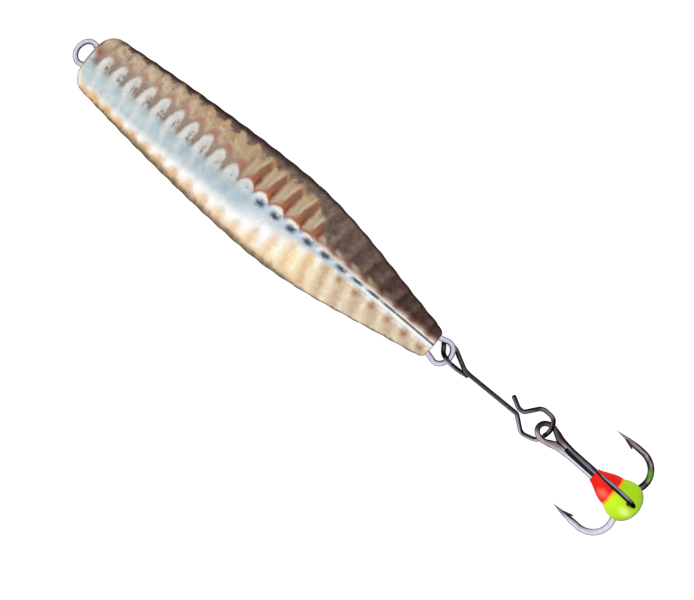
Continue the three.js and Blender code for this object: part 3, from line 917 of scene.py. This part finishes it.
def snap_tint(point, facing):
    """Painted reflections and shade: dark along the stem, elsewhere a grey streak between dark edges, and
    painted pale light from below.
    """
    drift = 0.4 * grain.noise(point * 0.4) + 0.2 * grain.noise(point * 1.3)
    stem = bell(point.x - STEM_MIDDLE, STEM_REACH) ** 0.3
    streak = blend(GREY_STEEL, STEEL, smooth(drift + 0.5 * facing.y, -0.1, 0.5))
    color = blend(PAINTED_DARK, streak, bell(facing.z - 0.96 + 0.4 * drift, 0.24))
    low = max(1 - smooth(point.y, -1.2, 0.6), bell(point.x - SNAP_THROAT, 3.2))
    color = blend(color, PAINTED_DARK, 0.85 * low * smooth(facing.z - facing.y, 0.2, 0.9))
    pale_from = mix(0.4, 0.15, low)
    pale = smooth(-facing.y + 0.5 * drift, pale_from, pale_from + 0.4)
    color = blend(color, LILAC, pale * mix(0.2, 1.0, low))
    # Painted shade where the clip crosses the hook's eye, and a painted pale reflection beside it.
    crossing = smooth(point.x, *CROSSING) * (1 - low)
    color = blend(color, PAINTED_DARK, 0.9 * crossing * smooth(facing.x + 0.3 * drift, -0.2, 0.2))
    color = blend(color, LILAC, 0.8 * crossing * bell(facing.x + 0.5, 0.4))
    dark = blend(PAINTED_DARK, BROWN_STEEL, 0.5 * smooth(drift - facing.y, 0.4, 1.0))
    return blend(color, dark, 0.95 * stem)


def snap_piece(material):
    points, faces, colors = joined([(tube(snap_path(), SNAP_WIRE, WIRE_SIDES), snap_tint)])
    piece = mesh_object("bent_snap", points, faces, material, colors)
    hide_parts("snap")
    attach(piece, "root")


# Treble hook

SIDE_HOOKS = (-30, 210)
THIRD_HOOK = 90
INNER_BEND_STEPS = 24
OUTER_BEND_STEPS = 22
POINT_STEPS = 14
HOOK_EYE_STEPS = 40
FORGED = (1.2, 3.6)
POINT_LEFT = 0.05
POINT_POWER = 0.8
# Along the hook, inside its outer edge, and thickness against the wire's.
BARB_KNOTS = [(-5.9, 0.12, 0.4), (-5.15, 0.38, 0.44), (-4.4, 0.74, 0.26)]
# Where the third shank starts from the neck: along it, below its line, width and height.
BRAZE_FOOT = {"back": 0.2, "sunk": 0.12, "wide": 0.6, "thin": 0.45}
BRAZE_LENGTH = 0.6


def arm_outline():
    """One side of the hook, along and out from its line: the bend, and the run to the point."""
    inner_radii = (-BEND_START, BEND_WIDEST_AT - HOOK_TRIAD)
    inner = arc_points((BEND_START, BEND_WIDEST_AT), inner_radii, -90, 0, INNER_BEND_STEPS)
    outer_radii = (-BEND_SHOULDER, HOOK_GAP - BEND_WIDEST_AT)
    outer = arc_points((BEND_SHOULDER, BEND_WIDEST_AT), outer_radii, 0, 90, OUTER_BEND_STEPS)
    run = []
    for k in range(1, POINT_STEPS + 1):
        f = k / POINT_STEPS
        run.append((mix(BEND_SHOULDER, -HOOK_POINT_BACK, f), HOOK_GAP - POINT_LEAN * f * f))
    return inner + outer[1:] + run


def arm_section(x, out):
    """Width and thickness against the wire's: forged flat in the bend, tapered to the point."""
    forged = smooth(out, *FORGED)
    left = min(max((x + HOOK_POINT_BACK) / POINT_TAPER, POINT_LEFT), 1)
    taper = left ** POINT_POWER if out > HOOK_GAP / 2 else 1
    return mix(1, BEND_WIDE / HOOK_WIRE, forged) * taper, mix(1, BEND_THIN / HOOK_WIRE, forged) * taper


def arm_direction(turn):
    return Vector((0, math.cos(math.radians(turn)), math.sin(math.radians(turn))))


def arm_path(turn):
    out = arm_direction(turn)
    up = Vector((1, 0, 0)).cross(out)
    if up.z < 0:
        up.negate()
    path = []
    for x, y in arm_outline():
        wide, thin = arm_section(x, y)
        path.append((Vector((x, 0, 0)) + out * y, up, wide, thin))
    return path


def hook_eye_path():
    level = -HOOK_TRIAD * math.sin(math.radians(30))
    up = Vector((0, 0, 1))
    middle = -HOOK_LENGTH + HOOK_EYE[0] + HOOK_WIRE * HOOK_EYE_SLIM / 2
    ring = arc_points((middle, 0), HOOK_EYE, 180 - HOOK_EYE_SWING, 180 + HOOK_EYE_SWING, HOOK_EYE_STEPS)
    path = []
    for back, out, wide in HOOK_NECK:
        path.append((Vector((back - HOOK_LENGTH, out, level)), up, wide, HOOK_EYE_SLIM))
    for x, y in ring:
        path.append((Vector((x, y, level)), up, HOOK_EYE_SLIM, HOOK_EYE_SLIM))
    for back, out, wide in reversed(HOOK_NECK):
        path.append((Vector((back - HOOK_LENGTH, -out, level)), up, wide, HOOK_EYE_SLIM))
    return path


def barb_path(turn):
    out = arm_direction(turn)
    up = Vector((1, 0, 0)).cross(out)
    path = []
    for x, inward, size in BARB_KNOTS:
        path.append((Vector((x, 0, 0)) + out * (HOOK_GAP - inward), up, size, size))
    return path


def third_hook_path():
    arm = arm_path(THIRD_HOOK)
    up = arm[0][1]
    neck_x = -HOOK_LENGTH + HOOK_NECK_END
    start = Vector((neck_x - BRAZE_FOOT["back"], 0, HOOK_TRIAD - BRAZE_FOOT["sunk"]))
    foot = (start, up, BRAZE_FOOT["wide"], BRAZE_FOOT["thin"])
    shank = (Vector((neck_x + BRAZE_LENGTH, 0, HOOK_TRIAD)), up, 1, 1)
    return [foot, shank] + arm


def hook_matrix():
    yaw = Matrix.Rotation(math.radians(HOOK_YAW), 4, "Z")
    pitch = Matrix.Rotation(math.radians(HOOK_PITCH), 4, "Y")
    place = in_model((HOOK_PLACE[0], HOOK_PLACE[1], HOOK_HEIGHT))
    return Matrix.Translation(place) @ (yaw @ pitch)


def moved(path, matrix):
    turn = matrix.to_3x3()
    return [(matrix @ point, turn @ up, wide, thin) for point, up, wide, thin in path]


# Places in the model's frame, for the hook's tints.
EYE_MIDDLE = Vector((32.61, 0.31, 0))
DROP_FACE = (40.4, 41.4)
BLACK_BEND = (45.8, 46.7)


def arm_tint(point, facing, drift):
    """The bent part of a side hook, in painted reflections: black edges and a pinkish streak on +Y,
    nearly all pale on -Y.
    """
    dark = blend(PAINTED_DARK, BROWN_STEEL, smooth(facing.z + drift, 0.62, 0.95))
    upper = blend(dark, PINK_STEEL, 0.85 * bell(facing.z - 0.96 + 0.7 * drift, 0.17))
    upper = blend(upper, STEEL, (1 - smooth(point.x, 40.2, 42.5)) * smooth(-facing.y + drift, -0.2, 0.6))
    upper = blend(upper, PAINTED_DARK, 0.9 * smooth(-facing.y + drift, 0.1, 0.6) * bell(point.x - 44.0, 2.4))
    lower = blend(LILAC, PALE_LILAC, smooth(-facing.y + drift, 0.0, 0.6))
    inside = smooth(facing.y + drift, 0.2, 0.6) * (1 - smooth(point.x, 43.5, 46.5))
    lower = blend(lower, PAINTED_DARK, inside)
    lower = blend(lower, BROWN_STEEL, 0.75 * (1 - smooth(point.x + 2 * drift, 41.0, 43.2)))
    return upper if point.y > 0 else lower


def shank_tint(point, facing, drift):
    """The straight part and the eye, in painted reflections and shade: dark on the +Y wire, pale on the
    -Y wire, brown at the eye.
    """
    upper = blend(PAINTED_DARK, BROWN_STEEL, 0.5 * smooth(drift, 0.0, 0.2))
    upper = blend(upper, LILAC, smooth(-facing.y + 0.3 * drift, -0.3, 0.1))
    lower = blend(PAINTED_DARK, PALE_LILAC, smooth(facing.z - 0.3 * facing.y, 0.0, 0.45))
    lower = blend(lower, LILAC, smooth(-facing.y + drift, 0.6, 0.9))
    aside = point.y - EYE_MIDDLE.y - math.tan(math.radians(HOOK_YAW)) * (point.x - EYE_MIDDLE.x)
    shank = blend(lower, upper, smooth(aside, -0.08, 0.08))
    arm = Vector((point.x - EYE_MIDDLE.x, point.y - EYE_MIDDLE.y, 0)).normalized()
    outward = facing.dot(arm)
    eye = blend(PINK_STEEL, BROWN_STEEL, smooth(aside + drift, -1.1, 0.2))
    left = smooth(EYE_MIDDLE.x - point.x, 0.4, 1.3) * smooth(aside, -1.1, -0.3)
    eye = blend(eye, PAINTED_DARK, 0.85 * left)
    top = smooth(aside, -0.3, 0.6) * smooth(facing.y, -0.05, 0.45)
    eye = blend(eye, PAINTED_DARK, 0.95 * max(top, smooth(-outward + drift, 0.3, 0.8)))
    eye = blend(eye, BROWN_STEEL, 0.6 * smooth(outward + drift, 0.5, 0.9) * (1 - top) * (1 - left))
    return blend(eye, shank, smooth(point.x + drift, 34.6, 36.6))


def double_hook_tint(point, facing):
    drift = 0.3 * grain.noise(point * 0.6) + 0.15 * grain.noise(point * 1.7)
    aside = smooth(abs(point.y), 1.3, 2.6)
    color = blend(shank_tint(point, facing, drift), arm_tint(point, facing, drift), aside)
    # A green patch on the upper arm, on its upward faces.
    green_patch = bell(math.hypot(point.x - GREEN_PATCH_PLACE[0], point.y - GREEN_PATCH_PLACE[1]), 1.15) ** 0.6
    return blend(color, GREEN_PATCH, green_patch * smooth(facing.z, 0.1, 0.6))


def third_hook_tint(point, facing):
    """Painted reflections: a grey streak along the top and dark edges, with painted black shade at the
    bend.
    """
    drift = 0.25 * grain.noise(point * 0.6)
    in_drop = smooth(point.x, *DROP_FACE)
    streak = bell(facing.y - mix(0.75, 0.4, in_drop) + drift, mix(0.3, 0.6, in_drop))
    color = blend(PAINTED_DARK, STREAK_LILAC, streak)
    color = blend(color, STEEL, 0.8 * smooth(-facing.y + drift, 0.75, 1.0))
    return blend(color, PAINTED_DARK, smooth(point.x, *BLACK_BEND))


def barb_tint(point, facing):
    """Painted shade, nearly black, with a little painted brown reflection where it faces up."""
    drift = 0.3 * grain.noise(point * 0.9)
    return blend(PAINTED_DARK, BROWN_STEEL, 0.4 * smooth(facing.z + drift, 0.8, 1.0))


def hook_piece(matrix, material):
    lean = Matrix.Translation((THIRD_HOOK_FORWARD, 0, 0))
    lean = lean @ Matrix.Rotation(math.radians(THIRD_HOOK_LEAN), 4, "X")
    left, right = SIDE_HOOKS
    double = arm_path(left)[::-1] + hook_eye_path() + arm_path(right)
    paths = [(double, double_hook_tint), (moved(third_hook_path(), lean), third_hook_tint)]
    barbs = [barb_path(left), barb_path(right), moved(barb_path(THIRD_HOOK), lean)]
    paths += [(path, barb_tint) for path in barbs]
    tubes = [(tube(moved(path, matrix), HOOK_WIRE, WIRE_SIDES), tint) for path, tint in paths]
    points, faces, colors = joined(tubes)
    piece = mesh_object("treble", points, faces, material, colors)
    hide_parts("treble_hook")
    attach(piece, "root")


# Resin drop

CONE_STEPS = 24
BALL_STEPS = 40
DROP_SIDES = 64
DROP_TIP = 0.01


def drop_profile():
    """Place along the hook and radius, from the cone's front over the ball to its tip."""
    seam_turn = math.asin(DROP_SEAM_RADIUS / DROP_RADIUS)
    front_reach = (DROP_WIDEST - DROP_SEAM) / math.cos(seam_turn)
    back_reach = DROP_END - DROP_WIDEST
    profile = []
    for i in range(CONE_STEPS + 1):
        f = i / CONE_STEPS
        bulge = math.sin(f * math.pi / 2) ** CONE_BULGE
        profile.append((mix(DROP_FRONT, DROP_SEAM, f), mix(DROP_FRONT_RADIUS, DROP_SEAM_RADIUS, bulge)))
    for i in range(1, BALL_STEPS):
        turn = mix(math.pi - seam_turn, 0, i / BALL_STEPS)
        reach = front_reach if turn > math.pi / 2 else back_reach
        profile.append((DROP_WIDEST + reach * math.cos(turn), DROP_RADIUS * math.sin(turn)))
    profile.append((DROP_END, DROP_TIP))
    return profile


RED = srgb(218, 9, 4)
ORANGE_RED = srgb(232, 36, 18)
GREEN = srgb(150, 200, 12)
LIME = srgb(190, 230, 34)
PINK_GLINT = srgb(255, 120, 96)
LIME_GLINT = srgb(226, 250, 130)
# Painted shade for the green ball's sides.
RIM_GREEN = srgb(34, 60, 10)
SEAM_ORANGE = srgb(240, 170, 20)
# The middles of the two painted highlights, along and across the hook.
RED_GLINT_PLACE = (-3.6, -1.1)
LIME_GLINT_PLACE = (0.2, -1.05)
GLINT_REACH = 1.3
GLINT_SQUEEZE = 1.5


def glint(point, place):
    away = math.hypot(point.x - place[0], GLINT_SQUEEZE * (point.y - place[1]))
    return bell(away, GLINT_REACH)


def drop_tint(point, x):
    """Red in front and green behind a thin orange seam, with a painted soft highlight on each. The green
    is painted lighter on one side and darker round its sides.
    """
    cloud = 0.5 + 0.8 * grain.noise(point * 0.35) + 0.2 * grain.noise(point * 1.5)
    above = smooth(point.z, 0.3, 1.2)
    red = blend(RED, ORANGE_RED, 0.7 * cloud)
    red = blend(red, PINK_GLINT, 0.7 * above * glint(point, RED_GLINT_PLACE))
    # The green is painted lighter on one side.
    green = blend(GREEN, LIME, mix(0.2, 0.9, smooth(-point.y, -1.5, 1.2)) + 0.5 * (cloud - 0.5))
    green = blend(green, LIME_GLINT, 0.8 * above * glint(point, LIME_GLINT_PLACE))
    # Painted shade round the green ball's sides.
    green = blend(green, RIM_GREEN, 0.9 * bell(point.z, 2.3) * smooth(x, -1.2, 1.0))
    seam = DROP_SEAM + 0.12 * grain.noise(point * 0.8)
    color = blend(red, green, smooth(x, seam - 0.1, seam + 0.3))
    return blend(color, SEAM_ORANGE, 0.8 * bell(x - seam - 0.05, 0.28))


def drop_piece(matrix, material):
    rings, colors = [], []
    for x, radius in drop_profile():
        ring = []
        for k in range(DROP_SIDES):
            turn = 2 * math.pi * k / DROP_SIDES
            point = Vector((x, radius * math.cos(turn), radius * math.sin(turn)))
            ring.append(matrix @ point)
            colors.append(drop_tint(point, x))
        rings.append(ring)
    points, faces = loft(rings)
    colors += [RED, GREEN]
    piece = mesh_object("cast_drop", points, faces, material, colors)
    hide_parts("hook_drop")
    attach(piece, "root")


# Stage

FLOOR_HALF = 1.5
FLOOR_PAINT = (0.75, 0.75, 0.75, 1)
FLOOR_GLOW = 0.72
FLOOR_LIGHT = (0.66, 0.65, 0.67, 1)


def floor_piece():
    """A plain floor, evenly white to the eye, that gives the part a dull light from below."""
    mesh = bpy.data.meshes.new("floor")
    half = FLOOR_HALF
    corners = [(-half, -half, 0), (half, -half, 0), (half, half, 0), (-half, half, 0)]
    mesh.from_pydata(corners, [], [(0, 1, 2, 3)])
    material = bpy.data.materials.new("floor")
    nodes, links, shader = nodes_of(material)
    shader.inputs["Base Color"].default_value = FLOOR_PAINT
    shader.inputs["Roughness"].default_value = 0.9
    shader.inputs["Specular IOR Level"].default_value = 0.0
    shader.inputs["Emission Color"].default_value = (1, 1, 1, 1)
    shader.inputs["Emission Strength"].default_value = FLOOR_GLOW
    dull = nodes.new("ShaderNodeBsdfDiffuse")
    dull.inputs["Color"].default_value = FLOOR_LIGHT
    path = nodes.new("ShaderNodeLightPath")
    seen = nodes.new("ShaderNodeMixShader")
    links.new(path.outputs["Is Camera Ray"], seen.inputs["Fac"])
    links.new(dull.outputs["BSDF"], seen.inputs[1])
    links.new(shader.outputs["BSDF"], seen.inputs[2])
    links.new(seen.outputs["Shader"], nodes["Material Output"].inputs["Surface"])
    mesh.materials.append(material)
    floor = bpy.data.objects.new("floor", mesh)
    bpy.context.scene.collection.objects.link(floor)
    floor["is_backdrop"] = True


# The studio: the colour of the sky by the angle from straight up, on the pale and on the warm side.
SKY = {
    "pale": [(0, (205, 208, 214)), (9, (212, 216, 222)), (16, (256, 258, 262)), (60, (263, 263, 263)),
             (76, (252, 251, 254)), (90, (206, 204, 210))],
    "warm": [(0, (205, 208, 214)), (9, (212, 216, 222)), (16, (240, 240, 244)), (60, (255, 255, 255)),
             (72, (240, 235, 232)), (82, (160, 150, 146)), (90, (96, 86, 84))],
}
WARM_SIDE = (0.35, 0.94, 0.0)
SIDE_BORDER = 0.35
BACKDROP = (0.93, 0.93, 0.93, 1)


def sky_ramp(nodes, stops):
    return ramp(nodes, [(angle / 90, srgb(*color)) for angle, color in stops])


def sky_share(nodes, links, value, low, high):
    share = nodes.new("ShaderNodeMapRange")
    share.interpolation_type = "SMOOTHSTEP"
    share.inputs["From Min"].default_value = low
    share.inputs["From Max"].default_value = high
    links.new(value, share.inputs["Value"])
    return share.outputs["Result"]


def sky_mix(nodes, links, share, low, high):
    node = nodes.new("ShaderNodeMixRGB")
    links.new(share, node.inputs["Fac"])
    links.new(low, node.inputs["Color1"])
    links.new(high, node.inputs["Color2"])
    return node.outputs["Color"]


def world_light():
    world = bpy.data.worlds.new("world")
    bpy.context.scene.world = world
    world.use_nodes = True
    nodes, links = world.node_tree.nodes, world.node_tree.links
    place = nodes.new("ShaderNodeTexCoord")
    split = nodes.new("ShaderNodeSeparateXYZ")
    links.new(place.outputs["Generated"], split.inputs["Vector"])
    angle = nodes.new("ShaderNodeMath")
    angle.operation = "ARCCOSINE"
    links.new(split.outputs["Z"], angle.inputs[0])
    height = nodes.new("ShaderNodeMath")
    height.operation = "DIVIDE"
    height.inputs[1].default_value = math.pi / 2
    links.new(angle.outputs["Value"], height.inputs[0])
    lean = nodes.new("ShaderNodeVectorMath")
    lean.operation = "DOT_PRODUCT"
    lean.inputs[1].default_value = WARM_SIDE
    links.new(place.outputs["Generated"], lean.inputs[0])
    to_warm = sky_share(nodes, links, lean.outputs["Value"], -SIDE_BORDER, SIDE_BORDER)
    side = {}
    for name, stops in SKY.items():
        side[name] = sky_ramp(nodes, stops)
        links.new(height.outputs["Value"], side[name].inputs["Fac"])
    sky = sky_mix(nodes, links, to_warm, side["pale"].outputs["Color"], side["warm"].outputs["Color"])
    path = nodes.new("ShaderNodeLightPath")
    plain = nodes.new("ShaderNodeMixRGB")
    plain.inputs["Color2"].default_value = BACKDROP
    links.new(path.outputs["Is Camera Ray"], plain.inputs["Fac"])
    links.new(sky, plain.inputs["Color1"])
    background = nodes["Background"]
    links.new(plain.outputs["Color"], background.inputs["Color"])
    background.inputs["Strength"].default_value = 1.0


bpy.context.scene.view_settings.view_transform = "Standard"
camera()
floor_piece()
world_light()

body_piece(plated_material())
eye_metal = wire_material("eye_wire", roughness=0.14, edge=1.0)
eye_piece("line_eye", "head_eye", 0, -1, HEAD_EYE, eye_metal)
eye_piece("hook_eye", "tail_eye", BODY_LENGTH, 1, TAIL_EYE, eye_metal)
snap_piece(wire_material("snap_wire", roughness=0.16, edge=0.3))
place_hook = hook_matrix()
hook_piece(place_hook, wire_material("hook_steel", roughness=0.16, edge=0.3))
drop_piece(place_hook, resin_material())

boxes = {"cad": cad_box, "visual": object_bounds()}
sizes = {name: [list(map(float, corner)) for corner in box] for name, box in boxes.items()}
